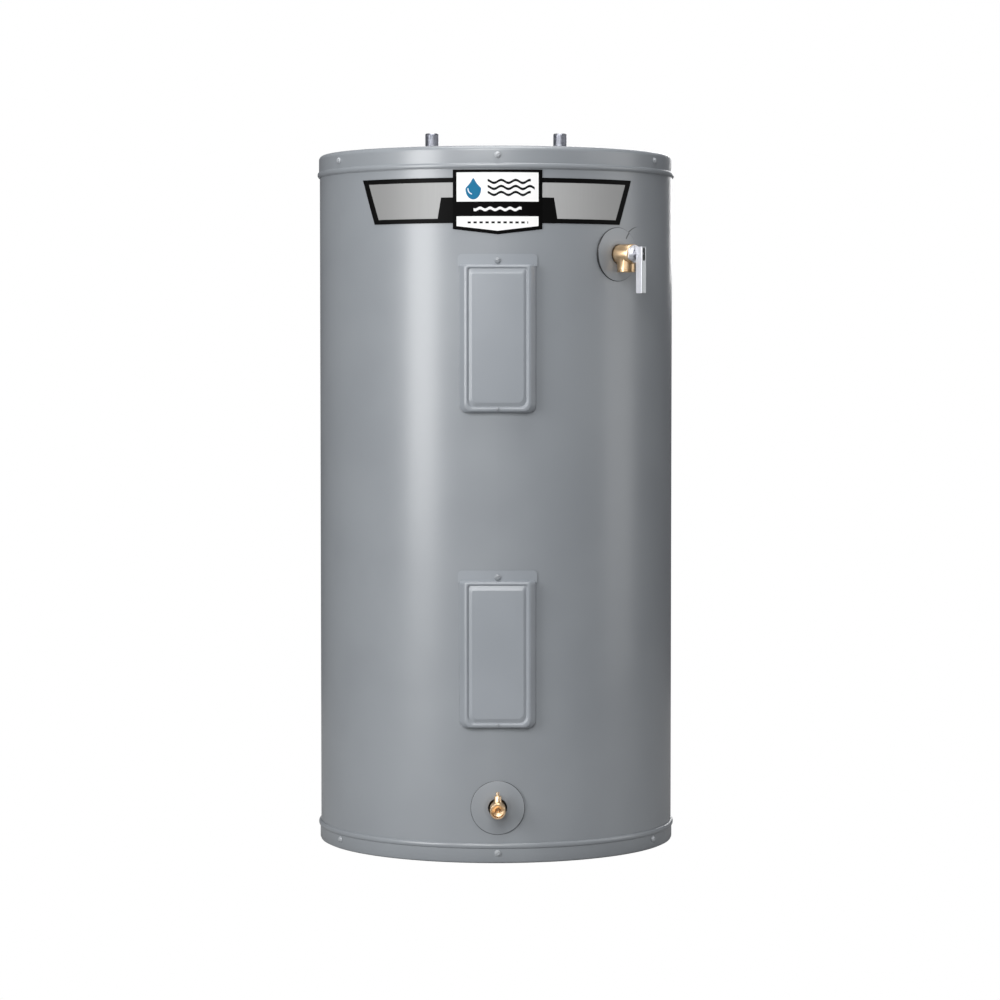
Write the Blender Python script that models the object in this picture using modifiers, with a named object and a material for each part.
"""A short electric storage water heater: sheet-metal jacket, foam, steel tank and all its fittings.

Metres, +Z up. The origin is on the floor, on the tank's axis. The front, with the two access
covers, faces -Y. A fitting on the wall is modelled in a frame of its own, whose x runs to the
right, y up and z straight out from the tank's axis, so a distance along z is a radius.
"""

from math import cos, pi, radians, sin, sqrt

import bmesh
import bpy

GAP = 0.0003  # between touching pieces
SHEET = 0.001  # jacket, lid, pan and covers

# Jacket, lid and base pan
HEIGHT = 1.085
JACKET_R = 0.2794
JACKET_SIDES = 48
SKIRT_R = JACKET_R + GAP + SHEET  # outside of the lid's and the pan's skirts
LID_CORNER_R = 0.008
LID_BEAD_DROP = 0.031  # the bead's middle below the lid's top
PAN_BEAD_Z = 0.0266
PAN_CORNER_R = 0.004
BEAD_TALL = 0.008
BEAD_OUT = 0.0023
BEAD_LIP = 0.0006  # of skirt beyond the bead
JACKET_BOTTOM = 0.004
JACKET_TOP = HEIGHT - 0.0095
SEAM_SCREWS = 6
LID_SCREW_DROP = 0.015
PAN_SCREW_Z = 0.016
SCREW_SHANK_R = 0.0019
SCREW_HEAD_R = 0.00485

# Tank and its foam
INSULATION = 0.0508
TANK_R = JACKET_R - INSULATION
TANK_SIDES = 24
TANK_WALL = 0.0025
SHELL_TOP = HEIGHT - 0.111
SHELL_BOTTOM = SHEET + 0.0006
HEAD_RISE = 0.055  # the top head's crown above its skirt
HEAD_RIM_R = TANK_R - TANK_WALL
HEAD_CROWN_R = (HEAD_RIM_R**2 + HEAD_RISE**2) / (2 * HEAD_RISE)
HEAD_SKIRT = 0.024
HEAD_KNUCKLE = 0.004
BOTTOM_HEAD_Z = 0.03
BOTTOM_HEAD_RISE = 0.06
SPUD_OUT = 0.010  # how far each threaded spud stands off the tank

# Water pipes and anode
PIPE_X = 0.1016
PIPE_R = 0.01075
PIPE_BORE_R = 0.0080
PIPE_UP = 0.036  # the nipples' tops above the lid
PIPE_CHAMFER = 0.0012
TOP_SPUD_R = 0.0165
TOP_SPUD_UP = 0.022
DIP_TUBE_R = 0.0076
DIP_TUBE_BORE_R = 0.0062
DIP_TUBE_BOTTOM = 0.20
ANODE_Y = 0.095
ANODE_R = 0.0105
ANODE_BOTTOM = 0.25
ANODE_PLUG_R = 0.0125
ANODE_HEX_R = 0.0165
ANODE_SPUD_R = TOP_SPUD_R + 0.002

# Access covers and the pockets behind them
COVER_WIDE = 0.120
COVER_TALL = 0.240
UPPER_COVER_Z = HEIGHT - 0.2835  # middles
LOWER_COVER_Z = 0.3245
COVER_STANDS = 0.0105  # the cover's ridge in front of the jacket
POCKET_WIDE = 0.086
POCKET_TALL = 0.196
POCKET_SIDE_ROOM = 0.017  # beside the thermostat, for the wires
DAM_WALL = 0.0065
COVER_SCREW_IN = 0.010  # from the cover's top edge
COVER_LOW_SCREW_IN = 0.0068  # from its bottom edge
LOW_SCREW_HEAD_R = 0.0026
LOW_SCREW_SHANK_R = 0.0013
PAD_CLEAR = 0.003
PAD_BACK = TANK_R + 0.0360

# Heating elements and thermostats, each placed from the middle of its pocket
ELEMENT_DROP = 0.0625
ELEMENT_PLUG_R = 0.0172
ELEMENT_HEX_R = 0.0245
ELEMENT_SPUD_R = 0.0255
GASKET_THICK = 0.0025
LOOP_ROD_R = 0.0038
LOOP_HALF = 0.0085
LOOP_END = -0.04  # the loop's far end, past the tank's axis
THERMOSTAT_WIDE = POCKET_WIDE - 2 * POCKET_SIDE_ROOM
THERMOSTAT_DEEP = 0.021
UPPER_THERMOSTAT_TALL = 0.118
LOWER_THERMOSTAT_TALL = 0.094
THERMOSTAT_LOW = 0.033  # its lower end below the pocket's middle
THERMOSTAT_BACK = TANK_R + 0.0022
CLIP_TALL = 0.026
CLIP_SHEET = 0.0010
DIAL_R = 0.0085
DIAL_THICK = 0.0030
BUTTON_R = 0.0052
BUTTON_OUT = 0.0042
HARNESS_X = (POCKET_WIDE - POCKET_SIDE_ROOM) / 2
HARNESS_R = 0.0038
HARNESS_OUT = TANK_R + 0.0150
HARNESS_ROOM = 0.0012  # round a harness, in the foam

# Temperature and pressure relief valve
TP_ANGLE = radians(41)
TP_Z = HEIGHT - 0.162
TP_BARREL_R = 0.015
TP_THREAD_R = 0.0131
TP_SEAT_BORE_R = 0.0085
TP_CHAMBER_R = 0.0112
TP_BARREL_OUT = 0.036  # these distances are measured out from the jacket
TP_CAP_OUT = 0.042
TP_SEAT_OUT = 0.0096
TP_OUTLET_OUT = 0.020
TP_PIN_OUT = 0.0515
TP_OUTLET_R = 0.01375
TP_OUTLET_BORE_R = 0.0098
TP_OUTLET_DOWN = 0.0275
STEM_R = 0.0026
STEM_HEAD_R = 0.0034
PIN_R = 0.0014
LEVER_WIDE = 0.0098
LEVER_SHEET = 0.0012
LEVER_UP = 0.0105  # these distances are measured from the lever's pin
LEVER_DOWN = 0.060
LEVER_FRONT = 0.0068
LEVER_BACK = 0.0055
LEVER_EAR = 0.0070
LEVER_NOTCH = 0.0030
LEVER_SLOT_WIDE = 0.0044
LEVER_SLOT_LONG = 0.020
LEVER_SLOT_IN = 0.0014
SPRING_R = 0.0082
SPRING_WIRE_R = 0.0010
SPRING_TURNS = 4

# Drain valve
DRAIN_Z = 0.085
DRAIN_R = 0.01175
DRAIN_BORE_R = 0.0095
DRAIN_WAY_R = 0.0040
DRAIN_THREAD_R = 0.0105
DRAIN_OUT = 0.045
DRAIN_STEM_OUT = 0.022
DRAIN_HOLE_R = 0.0143
BONNET_R = 0.0054
BONNET_UP = 0.009  # above the barrel
DRAIN_STEM_R = 0.0025
DRAIN_STEM_UP = 0.015
DRAIN_PLUG_R = 0.0048

ESCUTCHEON_R = 0.041
ESCUTCHEON_BOSS = 0.005
ESCUTCHEON_RIM = 0.0011

# Junction box in the lid
BOX_WIDE = 0.080
BOX_LONG = 0.056
BOX_DEEP = 0.036
BOX_Y = -(JACKET_R - 0.0945)
PLATE_EDGE = 0.006
KNOCKOUT_R = 0.011
KNOCKOUT_X = 0.008
BOX_EAR = 0.008
BOX_SCREW_X = 0.005 - BOX_WIDE / 2

# Front label, in distances round the jacket
LABEL_THICK = 0.0004
WING_TOP_HALF = 0.229
WING_BOTTOM_HALF = 0.2035
WING_TOP = HEIGHT - 0.049
WING_BOTTOM = HEIGHT - 0.117
PANEL_HALF = 0.0677
PANEL_TOP = HEIGHT - 0.037
PANEL_BOTTOM = HEIGHT - 0.126
PANEL_POINT = 0.008  # how far the panel's lower edge dips in the middle

GREY = (0.262, 0.275, 0.305)


def clear_scene():
    for obj in list(bpy.data.objects):
        bpy.data.objects.remove(obj, do_unlink=True)


def collection(name):
    made = bpy.data.collections.new(name)
    bpy.context.scene.collection.children.link(made)
    return made


def material(name, colour, roughness, metallic=0.0):
    made = bpy.data.materials.new(name)
    made.use_nodes = True
    shader = made.node_tree.nodes["Principled BSDF"]
    shader.inputs["Base Color"].default_value = (*colour, 1)
    shader.inputs["Roughness"].default_value = roughness
    shader.inputs["Metallic"].default_value = metallic
    return made


clear_scene()
PARTS = collection("storage_water_heater")
CUTTERS = collection("cutters")

PAINT = material("grey_paint", GREY, 0.32)
STEEL = material("steel", (0.42, 0.42, 0.44), 0.38, 1.0)
ENAMEL = material("tank_steel", (0.10, 0.11, 0.12), 0.55, 0.6)
BRASS = material("brass", (0.62, 0.44, 0.20), 0.28, 1.0)
BRIGHT = material("bright_zinc", (0.72, 0.73, 0.76), 0.25, 1.0)
PLASTIC = material("plastic_collar", (0.33, 0.34, 0.36), 0.5)
BLACK = material("black_plastic", (0.02, 0.02, 0.022), 0.4)
RED = material("red_plastic", (0.55, 0.03, 0.02), 0.35)
WHITE = material("white_plastic", (0.75, 0.75, 0.72), 0.45)
RUBBER = material("rubber", (0.03, 0.03, 0.03), 0.7)
FOAM = material("foam", (0.78, 0.66, 0.42), 0.9)
FELT = material("pad", (0.80, 0.80, 0.78), 0.95)
ALLOY = material("anode_alloy", (0.45, 0.45, 0.45), 0.6, 1.0)
LABEL = material("label", (0.55, 0.56, 0.58), 0.4)


# Helpers: each returns an object, and says nothing of what it is for.


def new_object(name, mesh, home=None):
    made = bpy.data.objects.new(name, mesh)
    (home or PARTS).objects.link(made)
    return made


def dress(obj, finish, angle=35):
    """Gives a piece its material and smooth shading with sharp edges."""
    obj.data.materials.clear()
    obj.data.materials.append(finish)
    if obj.type == "MESH":
        obj.data.shade_smooth()
        obj.data.set_sharp_from_angle(angle=radians(angle))
    return obj


def place(obj, frame=None, at=(0, 0, 0), turn=(0, 0, 0)):
    obj.parent = frame
    obj.location = at
    obj.rotation_euler = turn
    return obj


def wall_frame(name, height, angle=0.0):
    """An empty on the tank's axis: x right, y up, z out through the wall at the angle."""
    frame = new_object(name, None)
    return place(frame, None, (0, 0, height), (pi / 2, 0, angle))


def from_bmesh(name, bm, home=None):
    mesh = bpy.data.meshes.new(name)
    bm.to_mesh(mesh)
    bm.free()
    return new_object(name, mesh, home)


def box(name, size, at=(0, 0, 0), home=None):
    bm = bmesh.new()
    bmesh.ops.create_cube(bm, size=1)
    bmesh.ops.scale(bm, vec=size, verts=bm.verts)
    bmesh.ops.translate(bm, vec=at, verts=bm.verts)
    return from_bmesh(name, bm, home)


def rod(name, r, low, high, sides=20, at=(0, 0), r_high=None, home=None):
    """A cylinder, cone or prism along z from low to high."""
    bm = bmesh.new()
    bmesh.ops.create_cone(
        bm,
        cap_ends=True,
        segments=sides,
        radius1=r,
        radius2=r if r_high is None else r_high,
        depth=high - low,
    )
    bmesh.ops.translate(bm, vec=(*at, (low + high) / 2), verts=bm.verts)
    return from_bmesh(name, bm, home)


def prism(name, outline, half):
    """A (y, z) outline drawn out to half on both sides of x = 0."""
    bm = bmesh.new()
    left = [bm.verts.new((-half, y, z)) for y, z in outline]
    right = [bm.verts.new((half, y, z)) for y, z in outline]
    bm.faces.new(left)
    bm.faces.new(list(reversed(right)))
    for i in range(len(outline)):
        j = (i + 1) % len(outline)
        bm.faces.new((left[j], left[i], right[i], right[j]))
    bmesh.ops.recalc_face_normals(bm, faces=bm.faces)
    return from_bmesh(name, bm)


def turned(name, outline, sides, closed=False, home=None):
    """Spins an (r, z) outline, which runs down its outer side, about z."""
    count = len(outline)
    edges = [(i, i + 1) for i in range(count - 1)]
    if closed:
        edges.append((count - 1, 0))
    mesh = bpy.data.meshes.new(name)
    mesh.from_pydata([(r, 0, z) for r, z in outline], edges, [])
    made = new_object(name, mesh, home)
    spin = made.modifiers.new("spin", "SCREW")
    spin.angle = 2 * pi
    spin.steps = sides
    spin.render_steps = sides
    spin.use_merge_vertices = True
    spin.merge_threshold = 0.00001
    return made


def tube_ring(r_in, r_out, low, high):
    return [(r_out, high), (r_out, low), (r_in, low), (r_in, high)]


def arc(centre, r, start, end, steps):
    """Points on a circle in the (r, z) plane, by angles in degrees."""
    turns = [radians(start + (end - start) * i / steps) for i in range(steps + 1)]
    return [(centre[0] + r * cos(a), centre[1] + r * sin(a)) for a in turns]


def cut(obj, *tools):
    """Takes each tool out of the piece, and puts the tool away."""
    for tool in tools:
        combine(obj, tool, "DIFFERENCE")
    return obj


def join(obj, *others):
    for other in others:
        combine(obj, other, "UNION")
    return obj


def combine(obj, tool, operation):
    if tool.name in PARTS.objects:
        PARTS.objects.unlink(tool)
        CUTTERS.objects.link(tool)
    tool.hide_render = True
    tool.display_type = "WIRE"
    step = obj.modifiers.new(operation.lower(), "BOOLEAN")
    step.operation = operation
    step.object = tool


def bevelled(obj, width, segments=2):
    step = obj.modifiers.new("bevel", "BEVEL")
    step.width = width
    step.segments = segments
    step.limit_method = "ANGLE"
    return obj


def wire(name, points, r, resolution=2, home=None):
    """A round wire along the points, as a mesh."""
    curve = bpy.data.curves.new(name, "CURVE")
    curve.dimensions = "3D"
    curve.bevel_depth = r
    curve.bevel_resolution = resolution
    curve.use_fill_caps = True
    spline = curve.splines.new("POLY")
    spline.points.add(len(points) - 1)
    for point, at in zip(spline.points, points):
        point.co = (*at, 1)
    drawn = new_object(name + "_path", curve, home)
    bpy.context.view_layer.update()
    graph = bpy.context.evaluated_depsgraph_get()
    mesh = bpy.data.meshes.new_from_object(drawn.evaluated_get(graph))
    bpy.data.objects.remove(drawn, do_unlink=True)
    bm = bmesh.new()
    bm.from_mesh(mesh)
    bmesh.ops.remove_doubles(bm, verts=bm.verts, dist=1e-6)
    bm.to_mesh(mesh)
    bm.free()
    return new_object(name, mesh, home)


def seam_angles():
    return [2 * pi * i / SEAM_SCREWS for i in range(SEAM_SCREWS)]


# Frames of the fittings on the wall

UPPER = wall_frame("upper_pocket_frame", UPPER_COVER_Z)
LOWER = wall_frame("lower_pocket_frame", LOWER_COVER_Z)
TP = wall_frame("tp_frame", TP_Z, TP_ANGLE)
DRAIN = wall_frame("drain_frame", DRAIN_Z)
POCKETS = (("upper", UPPER), ("lower", LOWER))


# Sheet metal


def bead(middle):
    """The rolled bead of a skirt, from its top to its bottom."""
    points = []
    for i in range(5):
        t = 1 - i / 2
        points.append((SKIRT_R + BEAD_OUT * sqrt(1 - t * t), middle + t * BEAD_TALL / 2))
    return points


def skirt_cutters(height):
    """One clearance hole for each seam screw."""
    holes = []
    for i, angle in enumerate(seam_angles()):
        frame = wall_frame("seam_hole_frame", height, angle)
        hole = rod("seam_hole", SCREW_SHANK_R + GAP, JACKET_R - 0.006, SKIRT_R + 0.006, 8)
        holes.append(place(hole, frame))
    return holes


def top_lid():
    low = HEIGHT - LID_BEAD_DROP - BEAD_TALL / 2 - BEAD_LIP
    inner = SKIRT_R - SHEET
    corner = (SKIRT_R - LID_CORNER_R, HEIGHT - LID_CORNER_R)
    outline = [(0, HEIGHT)]
    outline += arc(corner, LID_CORNER_R, 90, 0, 3)
    outline += bead(HEIGHT - LID_BEAD_DROP)
    outline += [(SKIRT_R, low), (inner, low)]
    outline += arc(corner, LID_CORNER_R - SHEET, 0, 90, 2)
    outline += [(0, HEIGHT - SHEET)]
    lid = turned("top_lid", outline, JACKET_SIDES)
    for x in (-PIPE_X, PIPE_X):
        cut(lid, rod("pipe_hole", PIPE_R + 0.0018, HEIGHT - 0.01, HEIGHT + 0.01, 24, (x, 0)))
    hole = (BOX_WIDE + 4 * GAP, BOX_LONG + 4 * GAP, 0.02)
    cut(lid, box("box_hole", hole, (0, BOX_Y, HEIGHT)))
    cut(lid, *skirt_cutters(HEIGHT - LID_SCREW_DROP))
    return dress(lid, PAINT)


def base_pan():
    inner = SKIRT_R - SHEET
    top = PAN_BEAD_Z + BEAD_TALL / 2 + BEAD_LIP
    corner = (SKIRT_R - PAN_CORNER_R, PAN_CORNER_R)
    outline = [(0, SHEET), (inner - PAN_CORNER_R + SHEET, SHEET)]
    outline += arc(corner, PAN_CORNER_R - SHEET, -45, 0, 1)
    outline += [(inner, top), (SKIRT_R, top)]
    outline += bead(PAN_BEAD_Z)
    outline += arc(corner, PAN_CORNER_R, 0, -90, 2)
    outline += [(0, 0)]
    pan = turned("base_pan", outline, JACKET_SIDES)
    cut(pan, *skirt_cutters(PAN_SCREW_Z))
    return dress(pan, PAINT)


def pocket_hole(frame):
    size = (POCKET_WIDE, POCKET_TALL, 0.04)
    return place(box("pocket_hole", size, (0, 0, JACKET_R)), frame)


def jacket():
    ring = tube_ring(JACKET_R - SHEET, JACKET_R, JACKET_BOTTOM, JACKET_TOP)
    sheet = turned("jacket", ring, JACKET_SIDES, closed=True)
    for _, frame in POCKETS:
        cut(sheet, pocket_hole(frame))
        cut(sheet, *cover_screw_holes(frame, JACKET_R - 0.006, JACKET_R + 0.006))
    tp_hole = rod("tp_hole", TP_BARREL_R + 0.0006, JACKET_R - 0.02, JACKET_R + 0.02, 24)
    drain_hole = rod("drain_hole", DRAIN_HOLE_R, JACKET_R - 0.02, JACKET_R + 0.02, 24)
    cut(sheet, place(tp_hole, TP), place(drain_hole, DRAIN))
    cut(sheet, *skirt_cutters(HEIGHT - LID_SCREW_DROP), *skirt_cutters(PAN_SCREW_Z))
    return dress(sheet, PAINT)


def hex_screw(name, frame, under, tip, at=(0, 0), head_r=SCREW_HEAD_R, shank_r=SCREW_SHANK_R):
    """A hex washer-head screw: under is the washer's underside, tip the shank's end."""
    washer = head_r * 0.17
    screw = rod(name, head_r, under, under + washer, 12, at)
    head = rod(name + "_hex", head_r * 0.76, under + washer / 2, under + head_r * 0.62, 6, at)
    shank = rod(name + "_shank", shank_r, tip, under + washer / 2, 8, at)
    place(screw, frame)
    join(screw, place(head, frame), place(shank, frame))
    return dress(screw, PAINT)


def seam_screws():
    for prefix, height in (("lid", HEIGHT - LID_SCREW_DROP), ("base", PAN_SCREW_Z)):
        for i, angle in enumerate(seam_angles()):
            name = f"{prefix}_screw_{i + 1}"
            frame = wall_frame(name + "_frame", height, angle)
            hex_screw(name, frame, SKIRT_R + GAP, JACKET_R - SHEET - GAP)


# Tank


def crown(r):
    """The top head's outside at a radius."""
    drop = HEAD_CROWN_R - sqrt(HEAD_CROWN_R**2 - r * r)
    return SHELL_TOP - GAP + HEAD_RISE - drop


def spud(frame, r, low=TANK_R - TANK_WALL / 2):
    return place(rod("spud", r, low, TANK_R + SPUD_OUT, 16), frame)


def bore(frame, r, sides=16):
    return place(rod("bore", r, TANK_R - 0.02, TANK_R + 0.02, sides), frame)


def element_spots():
    return [(frame, (0, -ELEMENT_DROP)) for _, frame in POCKETS]


def tank_shell():
    ring = tube_ring(TANK_R - TANK_WALL, TANK_R, SHELL_BOTTOM, SHELL_TOP)
    shell = turned("tank_shell", ring, TANK_SIDES, closed=True)
    inside = TANK_R - TANK_WALL / 2
    for frame, at in element_spots():
        ring = rod("element_spud", ELEMENT_SPUD_R, inside - 0.0015, TANK_R + SPUD_OUT, 16, at)
        hole = rod("element_bore", ELEMENT_PLUG_R + GAP, TANK_R - 0.02, TANK_R + 0.02, 16, at)
        join(shell, place(ring, frame))
        cut(shell, place(hole, frame))
    for frame, r in ((TP, TP_THREAD_R), (DRAIN, DRAIN_THREAD_R)):
        join(shell, spud(frame, r + 0.005))
        cut(shell, bore(frame, r + GAP))
    return dress(shell, ENAMEL)


def head_points(r_end, lift):
    """The head's dome from its middle to just short of its skirt."""
    steps = 4
    radii = [r_end * i / steps for i in range(steps)] + [r_end - HEAD_KNUCKLE]
    return [(r, crown(r) + lift) for r in radii]


def tank_top_head():
    r = TANK_R - TANK_WALL - GAP
    low = SHELL_TOP - GAP
    outline = head_points(r, 0)
    outline += [(r, low - 0.002), (r, low - HEAD_SKIRT)]
    outline += [(r - TANK_WALL, low - HEAD_SKIRT), (r - TANK_WALL, low - 0.004)]
    outline += list(reversed(head_points(r - TANK_WALL, -TANK_WALL)))
    head = turned("tank_top_head", outline, TANK_SIDES)
    spots = [(-PIPE_X, 0, PIPE_R, TOP_SPUD_R), (PIPE_X, 0, PIPE_R, TOP_SPUD_R)]
    spots.append((0, ANODE_Y, ANODE_PLUG_R, ANODE_SPUD_R))
    for x, y, r_pipe, r_spud in spots:
        at = crown(sqrt(x * x + y * y))
        low = at - TANK_WALL - 0.004
        join(head, rod("top_spud", r_spud, low, at + TOP_SPUD_UP, 16, (x, y)))
        cut(head, rod("top_bore", r_pipe + GAP, at - 0.05, at + 0.05, 16, (x, y)))
    return dress(head, ENAMEL)


def tank_bottom_head():
    r = TANK_R - TANK_WALL - GAP
    steps = 4
    outline = []
    under = []
    for i in range(steps + 1):
        t = i / steps
        rise = BOTTOM_HEAD_RISE * (1 - t * t)
        outline.append(((r - TANK_WALL) * t, BOTTOM_HEAD_Z + rise))
        under.append(((r - TANK_WALL) * t, BOTTOM_HEAD_Z + rise - TANK_WALL))
    outline += [(r, BOTTOM_HEAD_Z), (r, BOTTOM_HEAD_Z - HEAD_SKIRT)]
    outline += [(r - TANK_WALL, BOTTOM_HEAD_Z - HEAD_SKIRT)]
    outline += list(reversed(under))
    return dress(turned("tank_bottom_head", outline, TANK_SIDES), ENAMEL)


def nipple(name, x):
    top = HEIGHT + PIPE_UP
    low = crown(PIPE_X) - 0.006
    outline = [(PIPE_R - PIPE_CHAMFER, top), (PIPE_R, top - PIPE_CHAMFER), (PIPE_R, low)]
    outline += [(PIPE_BORE_R, low), (PIPE_BORE_R, top)]
    return dress(place(turned(name, outline, 24, closed=True), None, (x, 0, 0)), STEEL)


def dip_tube():
    ring = tube_ring(DIP_TUBE_BORE_R, DIP_TUBE_R, DIP_TUBE_BOTTOM, HEIGHT + PIPE_UP - 0.012)
    tube = place(turned("dip_tube", ring, 16, closed=True), None, (PIPE_X, 0, 0))
    hole = rod("siphon_hole", 0.0015, 0, 0.02, 8)
    place(hole, None, (PIPE_X, 0, SHELL_TOP - 0.05), (pi / 2, 0, 0))
    return dress(cut(tube, hole), WHITE)


def anode():
    top = crown(ANODE_Y) + TOP_SPUD_UP
    rod_top = crown(ANODE_Y) - 0.006
    dress(place(rod("anode_rod", ANODE_R, ANODE_BOTTOM, rod_top, 16), None, (0, ANODE_Y, 0)), ALLOY)
    cap = rod("anode_cap", ANODE_PLUG_R, rod_top + GAP, top + 0.004, 24)
    hexagon = rod("anode_hex", ANODE_HEX_R, top + GAP, top + 0.011, 6)
    place(cap, None, (0, ANODE_Y, 0))
    place(hexagon, None, (0, ANODE_Y, 0))
    dress(join(cap, hexagon), STEEL)


def foam_insulation():
    outer = JACKET_R - SHEET - 0.001
    inner = TANK_R + 0.0006
    top = HEIGHT - SHEET - 0.001
    outline = [(0, top), (outer - 0.009, top), (outer, top - 0.0095)]
    outline += [(outer, JACKET_BOTTOM + SHEET), (inner, JACKET_BOTTOM + SHEET)]
    outline += [(inner, SHELL_TOP + 0.0015)]
    r = TANK_R - TANK_WALL - GAP
    outline += list(reversed(head_points(r, 0.0008)))
    foam = turned("foam_insulation", outline, TANK_SIDES)
    for _, frame in POCKETS:
        room = 2 * DAM_WALL + 4 * GAP
        size = (POCKET_WIDE + room, POCKET_TALL + room, INSULATION * 2)
        cut(foam, place(box("dam_space", size, (0, 0, TANK_R + INSULATION * 0.6)), frame))
    for frame, r in ((TP, TP_THREAD_R), (DRAIN, DRAIN_THREAD_R)):
        cut(foam, place(rod("valve_space", r + 0.006, TANK_R - 0.01, JACKET_R + 0.02, 16), frame))
    spuds = ((-PIPE_X, 0, TOP_SPUD_R), (PIPE_X, 0, TOP_SPUD_R), (0, ANODE_Y, ANODE_SPUD_R))
    for x, y, r in spuds:
        cut(foam, rod("spud_space", r + 0.001, crown(0) - 0.05, HEIGHT + 0.02, 16, (x, y)))
    room = (BOX_WIDE + 8 * GAP, BOX_LONG + 8 * GAP, BOX_DEEP + 0.02)
    cut(foam, box("box_space", room, (0, BOX_Y, HEIGHT - BOX_DEEP + room[2] / 2 - 0.002)))
    cut(foam, wire("harness_space", supply_route(), HARNESS_R + HARNESS_ROOM))
    cut(foam, wire("lower_harness_space", lower_route(), HARNESS_R + HARNESS_ROOM))
    return dress(foam, FOAM)


# Pockets: dam, element, thermostat and cover


def foam_dam(name, frame):
    outer = (POCKET_WIDE + 2 * DAM_WALL, POCKET_TALL + 2 * DAM_WALL, INSULATION * 1.6)
    inner = (POCKET_WIDE + 0.001, POCKET_TALL + 0.001, INSULATION * 2)
    middle = (0, 0, TANK_R + INSULATION / 2)
    dam = place(box(name, outer, middle), frame)
    cut(dam, place(box("dam_inside", inner, middle), frame))
    tank = rod("tank_envelope", TANK_R + 0.0006, 0, HEIGHT, TANK_SIDES)
    wall = rod("jacket_envelope", JACKET_R - SHEET - GAP, 0, HEIGHT, JACKET_SIDES)
    cut(dam, tank)
    combine(dam, wall, "INTERSECT")
    for route in (supply_route(), lower_route()):
        cut(dam, wire("harness_way", route, HARNESS_R + HARNESS_ROOM))
    return dress(dam, FELT)


def element_gasket(name, frame):
    low = TANK_R + SPUD_OUT + GAP
    ring = tube_ring(ELEMENT_PLUG_R + 0.001, ELEMENT_SPUD_R - 0.0005, low, low + GASKET_THICK)
    return dress(place(turned(name, ring, 16, closed=True), frame, (0, -ELEMENT_DROP, 0)), RUBBER)


def loop_route():
    start = TANK_R - 0.004
    turn = LOOP_END + LOOP_HALF
    points = [(0, LOOP_HALF, start), (0, LOOP_HALF, turn)]
    for i in range(1, 6):
        a = pi * i / 6
        points.append((0, LOOP_HALF * cos(a), turn - LOOP_HALF * sin(a)))
    points += [(0, -LOOP_HALF, turn), (0, -LOOP_HALF, start)]
    return points


def heating_element(name, frame):
    seat = TANK_R + SPUD_OUT + GASKET_THICK + 2 * GAP
    at = (0, -ELEMENT_DROP, 0)
    body = place(rod(name, ELEMENT_PLUG_R, TANK_R - 0.007, seat + 0.001, 16), frame, at)
    flange = rod("flange", ELEMENT_HEX_R, seat, seat + 0.006, 6)
    block = rod("terminal_block", 0.0150, seat + 0.005, seat + 0.0095, 16)
    join(body, place(flange, frame, at), place(block, frame, at))
    for x in (-0.007, 0.007):
        stud = rod("terminal", 0.0028, seat + 0.008, seat + 0.0135, 8, (x, 0))
        join(body, place(stud, frame, at))
    join(body, place(wire("loop", loop_route(), LOOP_ROD_R, 1), frame, at))
    return dress(body, STEEL)


def thermostat_middle(tall):
    return tall / 2 - THERMOSTAT_LOW


def terminal_rows(tall):
    """Terminal screws down both edges of a thermostat."""
    count = 4 if tall > 0.1 else 2
    pitch = 0.6 * tall / (count - 1)
    for side in (-1, 1):
        for i in range(count):
            yield side * THERMOSTAT_WIDE * 0.36, thermostat_middle(tall) + (i - (count - 1) / 2) * pitch


def thermostat(name, frame, tall):
    middle = (0, thermostat_middle(tall), THERMOSTAT_BACK + THERMOSTAT_DEEP / 2)
    front = THERMOSTAT_BACK + THERMOSTAT_DEEP
    body = place(box(name, (THERMOSTAT_WIDE, tall, THERMOSTAT_DEEP), middle), frame)
    bevelled(body, 0.002, 1)
    for x, y in terminal_rows(tall):
        join(body, place(rod("terminal", 0.0032, front - 0.002, front + 0.0016, 8, (x, y)), frame))
    return body


def dial_y(tall):
    return thermostat_middle(tall) - 0.22 * tall


def button_y(tall):
    return thermostat_middle(tall) + 0.30 * tall


def upper_thermostat():
    body = thermostat("upper_thermostat", UPPER, UPPER_THERMOSTAT_TALL)
    front = THERMOSTAT_BACK + THERMOSTAT_DEEP
    at = (0, button_y(UPPER_THERMOSTAT_TALL))
    well = rod("button_well", BUTTON_R + 0.0006, front - 0.008, front + 0.01, 16, at)
    return dress(cut(body, place(well, UPPER)), BLACK)


def lower_thermostat():
    return dress(thermostat("lower_thermostat", LOWER, LOWER_THERMOSTAT_TALL), BLACK)


def thermostat_clip(name, frame, tall):
    """A spring-steel strap round the back and the sides of a thermostat."""
    wide = THERMOSTAT_WIDE + 4 * GAP + 2 * CLIP_SHEET
    back = THERMOSTAT_BACK - GAP - CLIP_SHEET
    deep = THERMOSTAT_DEEP * 0.6
    at = (0, thermostat_middle(tall), back + deep / 2)
    strap = place(box(name, (wide, CLIP_TALL, deep), at), frame)
    room = (wide - 2 * CLIP_SHEET, CLIP_TALL + 0.01, deep)
    cut(strap, place(box("clip_room", room, (0, at[1], at[2] + CLIP_SHEET)), frame))
    return dress(strap, STEEL)


def dial(name, frame, tall):
    """A slotted temperature dial, with its origin on its own axis."""
    body = rod(name, DIAL_R, 0, DIAL_THICK, 24)
    slot = box("dial_slot", (0.0016, DIAL_R * 1.5, 0.002), (0, 0, DIAL_THICK))
    at = (0, dial_y(tall), THERMOSTAT_BACK + THERMOSTAT_DEEP + GAP)
    place(body, frame, at)
    return dress(cut(body, place(slot, frame, at)), WHITE)


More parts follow.
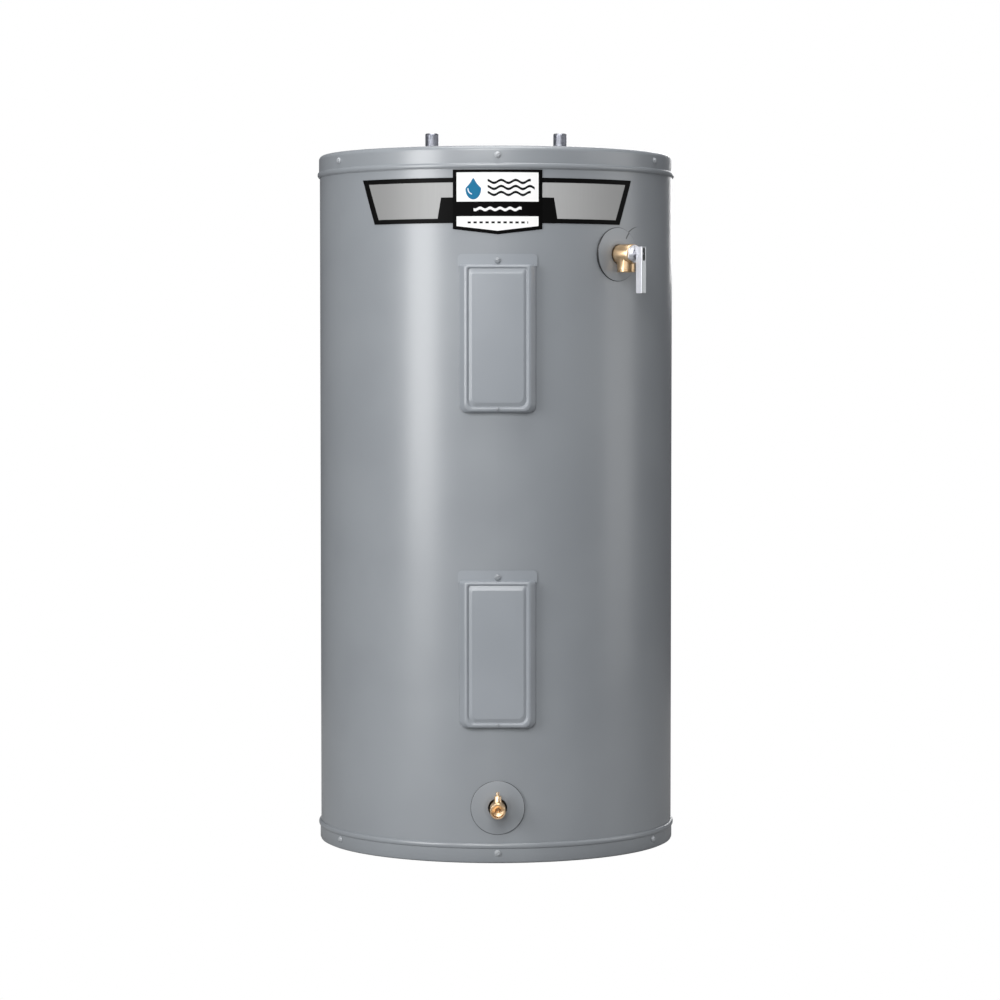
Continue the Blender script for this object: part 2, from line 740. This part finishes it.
def reset_button():
    front = THERMOSTAT_BACK + THERMOSTAT_DEEP
    button = rod("reset_button", BUTTON_R, -0.0045, BUTTON_OUT, 16)
    place(button, UPPER, (0, button_y(UPPER_THERMOSTAT_TALL), front))
    return dress(button, RED)


def rounded_outline(half, top, bottom, r_top, r_bottom):
    """An upright outline, anticlockwise from its lower left, with points along both ends."""
    points = []
    corners = (
        (half - r_bottom, bottom + r_bottom, r_bottom, -90),
        (half - r_top, top - r_top, r_top, 0),
        (-half + r_top, top - r_top, r_top, 90),
        (-half + r_bottom, bottom + r_bottom, r_bottom, 180),
    )
    for x, y, r, start in corners:
        for i in range(3):
            a = radians(start + 45 * i)
            points.append((x + r * cos(a), y + r * sin(a)))
        if start in (0, 180):
            end = -x
            points += [(x + (end - x) * i / 4, points[-1][1]) for i in range(1, 4)]
    return points


def cover_rings():
    """Outlines from the cover's edge in to its field: inset at the side, top and bottom, and height."""
    ridge = JACKET_R + COVER_STANDS
    return (
        (0, 0, 0, None, 0.006, 0.013),
        (0.0012, 0.015, 0.0008, None, 0.005, 0.0125),
        (0.0040, 0.0160, 0.0014, ridge - 0.0090, 0.0045, 0.0125),
        (0.0125, 0.0180, 0.0040, ridge, 0.004, 0.011),
        (0.0140, 0.0205, 0.0095, ridge, 0.004, 0.009),
        (0.0168, 0.0235, 0.0122, ridge - 0.0030, 0.003, 0.006),
        (0.0210, 0.0290, 0.0166, ridge + 0.0004, 0.002, 0.003),
    )


def access_cover(name, frame):
    """A pressed cover: its edge follows the jacket and its field is flat."""
    bm = bmesh.new()
    rings = []
    for side, top, bottom, height, r_top, r_bottom in cover_rings():
        outline = rounded_outline(
            COVER_WIDE / 2 - side, COVER_TALL / 2 - top, -COVER_TALL / 2 + bottom, r_top, r_bottom
        )
        rest = JACKET_R + GAP * 2 + SHEET
        ring = []
        for x, y in outline:
            ring.append(bm.verts.new((x, y, height or sqrt(rest * rest - x * x))))
        rings.append(ring)
    for outer, inner in zip(rings, rings[1:]):
        for i in range(len(outer)):
            j = (i + 1) % len(outer)
            bm.faces.new((outer[i], outer[j], inner[j], inner[i]))
    bm.faces.new(rings[-1])
    cover = place(from_bmesh(name, bm), frame)
    skin = cover.modifiers.new("thickness", "SOLIDIFY")
    skin.thickness = SHEET
    skin.offset = -1
    skin.use_even_offset = True
    cut(cover, *cover_screw_holes(frame, JACKET_R - 0.002, JACKET_R + 0.02))
    return dress(cover, PAINT)


def cover_screw_spots():
    yield (0, COVER_TALL / 2 - COVER_SCREW_IN), SCREW_SHANK_R
    yield (0, -COVER_TALL / 2 + COVER_LOW_SCREW_IN), LOW_SCREW_SHANK_R


def cover_screw_holes(frame, low, high):
    return [place(rod("screw_hole", r + GAP, low, high, 8, at), frame) for at, r in cover_screw_spots()]


def cover_screws(prefix, frame):
    high, low = (at for at, _ in cover_screw_spots())
    rest = JACKET_R + GAP * 3 + SHEET
    tip = JACKET_R - SHEET - GAP
    hex_screw(f"{prefix}_cover_top_screw", frame, rest, tip, high)
    face = JACKET_R + COVER_STANDS + GAP
    small = {"head_r": LOW_SCREW_HEAD_R, "shank_r": LOW_SCREW_SHANK_R}
    hex_screw(f"{prefix}_cover_bottom_screw", frame, face, tip, low, **small)


def insulation_pad(name, frame):
    front = JACKET_R + COVER_STANDS - 0.0030 - SHEET - 0.0006
    size = (POCKET_WIDE - 2 * PAD_CLEAR, POCKET_TALL - 2 * PAD_CLEAR, front - PAD_BACK)
    return dress(place(box(name, size, (0, 0, (front + PAD_BACK) / 2)), frame), FELT)


def supply_route():
    """From the junction box, down in the foam, into the upper pocket beside the thermostat."""
    box_low = HEIGHT - BOX_DEEP
    pocket_top = UPPER_COVER_Z + POCKET_TALL / 2
    return [
        (HARNESS_X, BOX_Y, box_low - 0.0016),
        (HARNESS_X, BOX_Y, box_low - 0.012),
        (HARNESS_X, BOX_Y - 0.012, box_low - 0.030),
        (HARNESS_X, -HARNESS_OUT + 0.008, box_low - 0.052),
        (HARNESS_X, -HARNESS_OUT, box_low - 0.070),
        (HARNESS_X, -HARNESS_OUT, pocket_top - 0.030),
    ]


def lower_route():
    """From the upper pocket to the lower one, straight down through the foam."""
    high = UPPER_COVER_Z - POCKET_TALL / 2 + 0.025
    low = LOWER_COVER_Z + POCKET_TALL / 2 - 0.030
    return [(HARNESS_X, -HARNESS_OUT, high), (HARNESS_X, -HARNESS_OUT, low)]


def harnesses():
    dress(wire("supply_harness", supply_route(), HARNESS_R), RUBBER)
    dress(wire("lower_harness", lower_route(), HARNESS_R), RUBBER)


# Relief valve


def tp_valve_body():
    end = JACKET_R + TP_BARREL_OUT
    neck = JACKET_R + 0.0041
    inside = TANK_R - 0.004
    seat = JACKET_R + TP_SEAT_OUT
    outline = [(TP_BARREL_R, end), (TP_BARREL_R, neck), (TP_THREAD_R, neck), (TP_THREAD_R, inside)]
    outline += [(TP_SEAT_BORE_R, inside), (TP_SEAT_BORE_R, seat), (TP_CHAMBER_R, seat), (TP_CHAMBER_R, end)]
    body = place(turned("tp_valve_body", outline, 20, closed=True), TP)
    at = (0, 0, JACKET_R + TP_OUTLET_OUT)
    down = (pi / 2, 0, 0)
    outlet = rod("outlet", TP_OUTLET_R, 0, TP_OUTLET_DOWN)
    way = rod("outlet_way", TP_OUTLET_BORE_R, 0, TP_OUTLET_DOWN + 0.01)
    chamber = rod("chamber", TP_CHAMBER_R, seat, end + 0.01)
    join(body, place(outlet, TP, at, down))
    cut(body, place(way, TP, at, down), place(chamber, TP))
    return dress(body, BRASS)


def tp_valve_cap():
    base = JACKET_R + TP_BARREL_OUT + GAP
    top = JACKET_R + TP_CAP_OUT
    cap = place(rod("tp_valve_cap", TP_CHAMBER_R - GAP, base - 0.0035, base + 0.001, 24), TP)
    hexagon = rod("cap_hex", TP_BARREL_R - 0.0004, base, base + 0.0026, 6)
    cone = rod("cap_cone", 0.0118, base + 0.0020, top, 24, r_high=0.0085)
    hole = rod("stem_hole", STEM_R + 0.0005, base - 0.01, top + 0.01, 16)
    join(cap, place(hexagon, TP), place(cone, TP))
    return dress(cut(cap, place(hole, TP)), BRIGHT)


def tp_valve_stem():
    """The stem, with its seat disc and cross pin. Its origin is on the lever's pin."""
    pin = JACKET_R + TP_PIN_OUT
    seat = JACKET_R + TP_SEAT_OUT + GAP - pin
    at = (0, 0, pin)
    stem = place(rod("tp_valve_stem", STEM_R, seat + 0.001, 0.001, 16), TP, at)
    disc = rod("seat_disc", TP_CHAMBER_R - 0.0006, seat, seat + 0.0022, 16)
    head = rod("stem_head", STEM_HEAD_R, -0.0085, 0.0026, 16)
    cross = rod("pin", PIN_R, -LEVER_WIDE / 2, LEVER_WIDE / 2, 12)
    join(stem, place(disc, TP, at), place(head, TP, at), place(cross, TP, at, (0, pi / 2, 0)))
    return dress(stem, BRIGHT)


def tp_valve_spring():
    low = JACKET_R + TP_SEAT_OUT + GAP + 0.0022 + GAP + SPRING_WIRE_R
    high = JACKET_R + TP_BARREL_OUT - 0.0035 - SPRING_WIRE_R
    count = SPRING_TURNS * 12
    points = []
    for i in range(count + 1):
        a = 2 * pi * i / 12
        points.append((SPRING_R * cos(a), SPRING_R * sin(a), low + (high - low) * i / count))
    return dress(place(wire("tp_valve_spring", points, SPRING_WIRE_R, 0), TP), STEEL)


def lever_outline():
    """The folded lever from the side, as (y, z) from its pin, with two ears above a notch."""
    return [
        (-LEVER_DOWN, LEVER_FRONT),
        (-LEVER_DOWN, -LEVER_BACK),
        (-LEVER_NOTCH, -LEVER_BACK),
        (0, -LEVER_BACK + LEVER_NOTCH),
        (LEVER_NOTCH, -LEVER_EAR),
        (LEVER_UP, -LEVER_EAR),
        (LEVER_UP, LEVER_FRONT),
    ]


def tp_valve_lever():
    """A folded channel, open towards the valve, with its origin on the pin."""
    at = (0, 0, JACKET_R + TP_PIN_OUT)
    lever = place(prism("tp_valve_lever", lever_outline(), LEVER_WIDE / 2), TP, at)
    bevelled(lever, 0.0008, 1)
    long = LEVER_UP + LEVER_DOWN
    room = (LEVER_WIDE - 2 * LEVER_SHEET, long + 0.01, LEVER_FRONT + LEVER_EAR)
    middle = (0, (LEVER_UP - LEVER_DOWN) / 2, LEVER_FRONT - LEVER_SHEET - room[2] / 2)
    cut(lever, place(box("channel_room", room, middle), TP, at))
    slot_y = LEVER_UP - LEVER_SLOT_IN - LEVER_SLOT_LONG / 2
    slot = box("web_slot", (LEVER_SLOT_WIDE, LEVER_SLOT_LONG, 0.01), (0, slot_y, LEVER_FRONT))
    hole = rod("pin_hole", PIN_R + GAP, -LEVER_WIDE, LEVER_WIDE, 12)
    cut(lever, place(slot, TP, at), place(hole, TP, at, (0, pi / 2, 0)))
    return dress(lever, BRIGHT)


def escutcheon(name, frame, hole_r):
    boss = JACKET_R + ESCUTCHEON_BOSS - 0.0012
    rim = JACKET_R + ESCUTCHEON_RIM
    low = JACKET_R - 0.008
    outline = [(hole_r, boss), (hole_r + 0.003, boss), (ESCUTCHEON_R, rim)]
    outline += [(ESCUTCHEON_R, low), (hole_r, low)]
    plate = place(turned(name, outline, 32, closed=True), frame)
    return cut(plate, rod("jacket_envelope", JACKET_R + GAP, 0, HEIGHT, JACKET_SIDES))


def escutcheons():
    plate = escutcheon("tp_escutcheon", TP, TP_BARREL_R + 0.0006)
    slit = box("slit", (ESCUTCHEON_R * 2, 0.0010, 0.04), (ESCUTCHEON_R, 0, JACKET_R))
    dress(cut(plate, place(slit, TP, (0, 0, 0), (0, 0, radians(38)))), PLASTIC)
    dress(escutcheon("drain_escutcheon", DRAIN, DRAIN_HOLE_R), PLASTIC)


# Drain valve


def drain_valve_body():
    end = JACKET_R + DRAIN_OUT
    neck = JACKET_R + 0.0041
    inside = TANK_R - 0.004
    stop = end - 0.0135
    outline = [(DRAIN_R, end), (DRAIN_R, neck), (DRAIN_THREAD_R, neck), (DRAIN_THREAD_R, inside)]
    outline += [(DRAIN_WAY_R, inside), (DRAIN_WAY_R, stop), (DRAIN_BORE_R, stop), (DRAIN_BORE_R, end)]
    body = place(turned("drain_valve_body", outline, 20, closed=True), DRAIN)
    at = (0, 0, JACKET_R + DRAIN_STEM_OUT)
    up = (-pi / 2, 0, 0)
    bonnet = rod("bonnet", BONNET_R, DRAIN_WAY_R + 0.002, DRAIN_R + BONNET_UP, 16)
    well = rod("plug_well", DRAIN_PLUG_R + GAP, -0.0075, 0.0075, 16)
    way = rod("stem_way", DRAIN_STEM_R + GAP, 0.006, DRAIN_R + BONNET_UP + 0.01, 16)
    join(body, place(bonnet, DRAIN, at, up))
    cut(body, place(well, DRAIN, at, up), place(way, DRAIN, at, up))
    return dress(body, BRASS)


def drain_valve_stem():
    """A quarter-turn plug with a slotted stem, its local z up and its origin on its axis."""
    at = (0, 0, JACKET_R + DRAIN_STEM_OUT)
    up = (-pi / 2, 0, 0)
    top = DRAIN_R + DRAIN_STEM_UP
    stem = place(rod("drain_valve_stem", DRAIN_PLUG_R, -0.0072, 0.0072, 16), DRAIN, at, up)
    post = rod("post", DRAIN_STEM_R, 0.006, top, 16)
    slot = box("driver_slot", (0.0012, 0.01, 0.004), (0, 0, top))
    port = rod("port", DRAIN_WAY_R - 0.0005, -0.02, 0.02, 12)
    join(stem, place(post, DRAIN, at, up))
    cut(stem, place(slot, DRAIN, at, up), place(port, DRAIN, at, (0, pi / 2, 0)))
    return dress(stem, BRASS)


# Junction box


def junction_box():
    top = HEIGHT + GAP
    size = (BOX_WIDE, BOX_LONG, BOX_DEEP)
    body = box("junction_box", size, (0, BOX_Y, top - BOX_DEEP / 2))
    room = (BOX_WIDE - 2 * SHEET, BOX_LONG - 2 * SHEET, BOX_DEEP)
    cut(body, box("box_room", room, (0, BOX_Y, top - BOX_DEEP / 2 + SHEET)))
    low = HEIGHT - BOX_DEEP
    cable = (HARNESS_X - 0.002, BOX_Y)
    cut(body, rod("cable_hole", HARNESS_R - 0.001, low - 0.01, low + 0.01, 12, cable))
    ear = (BOX_EAR, 0.010, 0.012)
    join(body, box("screw_ear", ear, (BOX_SCREW_X - 0.0005, BOX_Y, top - ear[2] / 2)))
    at = (BOX_SCREW_X, BOX_Y)
    cut(body, rod("ear_hole", SCREW_SHANK_R + GAP, top - 0.010, top + 0.01, 8, at))
    return dress(body, STEEL)


def junction_cover():
    low = HEIGHT + 2 * GAP
    at = (BOX_SCREW_X, BOX_Y)
    size = (BOX_WIDE + 2 * PLATE_EDGE, BOX_LONG + 2 * PLATE_EDGE, SHEET)
    plate = bevelled(box("junction_cover", size, (0, BOX_Y, low + SHEET / 2)), 0.0003, 1)
    ring = tube_ring(KNOCKOUT_R, KNOCKOUT_R + 0.0008, low + SHEET / 2, low + 0.01)
    groove = turned("knockout_groove", ring, 24, closed=True)
    cut(plate, place(groove, None, (KNOCKOUT_X, BOX_Y, 0)))
    cut(plate, rod("plate_hole", SCREW_SHANK_R + GAP, low - 0.01, low + 0.01, 8, at))
    dress(plate, PAINT)
    hex_screw("junction_cover_screw", None, low + SHEET + GAP, HEIGHT - 0.007, at, 0.004)


# Label


def label_columns():
    """(distance round the jacket, bottom, top) from the middle out to the wing's end."""
    step = 2 * pi * JACKET_R / JACKET_SIDES
    seams = [step * i for i in range(1, JACKET_SIDES // 4)]
    columns = [(0, PANEL_BOTTOM - PANEL_POINT, PANEL_TOP)]
    columns += [(s, PANEL_BOTTOM, PANEL_TOP) for s in seams if s < PANEL_HALF - 0.002]
    columns.append((PANEL_HALF, PANEL_BOTTOM, PANEL_TOP))
    slope = (WING_TOP - WING_BOTTOM) / (WING_TOP_HALF - WING_BOTTOM_HALF)
    marks = [PANEL_HALF + GAP, WING_BOTTOM_HALF, WING_TOP_HALF - 0.002]
    marks += [s for s in seams if PANEL_HALF + 0.002 < s < WING_TOP_HALF - 0.003]
    for s in sorted(marks):
        columns.append((s, WING_BOTTOM + max(0, slope * (s - WING_BOTTOM_HALF)), WING_TOP))
    return columns


def front_label():
    """A thin sheet bent round the jacket: two wings with slanted ends and a middle panel."""
    right = label_columns()
    columns = [(-s, low, high) for s, low, high in reversed(right[1:])] + right
    r = JACKET_R + GAP + LABEL_THICK
    bm = bmesh.new()
    pairs = []
    for s, low, high in columns:
        a = s / JACKET_R
        pairs.append([bm.verts.new((r * sin(a), -r * cos(a), z)) for z in (low, high)])
    for left, right in zip(pairs, pairs[1:]):
        bm.faces.new((left[0], right[0], right[1], left[1]))
    sheet = from_bmesh("front_label", bm)
    skin = sheet.modifiers.new("thickness", "SOLIDIFY")
    skin.thickness = LABEL_THICK
    skin.offset = -1
    return dress(sheet, LABEL)


def build():
    top_lid()
    base_pan()
    jacket()
    seam_screws()
    tank_shell()
    tank_top_head()
    tank_bottom_head()
    nipple("hot_nipple", -PIPE_X)
    nipple("cold_nipple", PIPE_X)
    dip_tube()
    anode()
    foam_insulation()
    harnesses()
    upper_thermostat()
    lower_thermostat()
    reset_button()
    for (prefix, frame), tall in zip(POCKETS, (UPPER_THERMOSTAT_TALL, LOWER_THERMOSTAT_TALL)):
        foam_dam(f"{prefix}_foam_dam", frame)
        element_gasket(f"{prefix}_element_gasket", frame)
        heating_element(f"{prefix}_element", frame)
        thermostat_clip(f"{prefix}_thermostat_clip", frame, tall)
        dial(f"{prefix}_dial", frame, tall)
        access_cover(f"{prefix}_access_cover", frame)
        cover_screws(prefix, frame)
        insulation_pad(f"{prefix}_insulation_pad", frame)
    tp_valve_body()
    tp_valve_cap()
    tp_valve_stem()
    tp_valve_spring()
    tp_valve_lever()
    escutcheons()
    drain_valve_body()
    drain_valve_stem()
    junction_box()
    junction_cover()
    front_label()


build()
